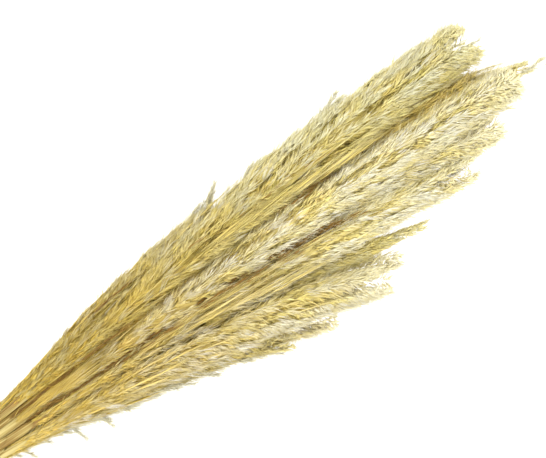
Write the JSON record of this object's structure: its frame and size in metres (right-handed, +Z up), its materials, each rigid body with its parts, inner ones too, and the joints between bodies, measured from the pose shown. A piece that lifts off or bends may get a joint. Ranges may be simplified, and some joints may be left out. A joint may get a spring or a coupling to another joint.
{
  "type": "dried wild reed bunch",
  "caption": "Tied bunch of dried wild reeds lying on its side: golden culms whose long pale feathery plumes fan out from an elastic band.",
  "frame": {"origin": "on the table, under the middle of the bunch's bounding box", "axes": "+X along the bunch, from the cut stem ends to the plume tips; +Y across the fan; +Z up from the table"},
  "size_m": [1.0192, 0.2046, 0.1009],
  "materials": {
    "culm": "smooth golden straw, faintly glossy, fine lengthwise grooves",
    "plume": "matte cream straw, feathery, made of small pointed spikelets and fluff",
    "plume_gold": "matte golden straw, feathery, made of small pointed spikelets and fluff",
    "band": "tan natural rubber, satin"
  },
  "bodies": {
    "root": {"culm_01": "culm", "culm_02": "culm", "culm_03": "culm", "culm_04": "culm", "culm_05": "culm", "culm_06": "culm", "culm_07": "culm", "culm_08": "culm", "culm_09": "culm", "culm_10": "culm", "culm_11": "culm", "culm_12": "culm", "culm_13": "culm", "culm_14": "culm", "culm_15": "culm", "culm_16": "culm", "culm_17": "culm", "culm_18": "culm", "plume_01": "plume", "plume_02": "plume", "plume_03": "plume", "plume_04": "plume_gold", "plume_05": "plume", "plume_06": "plume", "plume_07": "plume", "plume_08": "plume", "plume_09": "plume", "plume_10": "plume", "plume_11": "plume", "plume_12": "plume", "plume_13": "plume", "plume_14": "plume", "plume_15": "plume", "plume_16": "plume", "plume_17": "plume", "plume_18": "plume", "band": "band"}
  },
  "joints": []
}
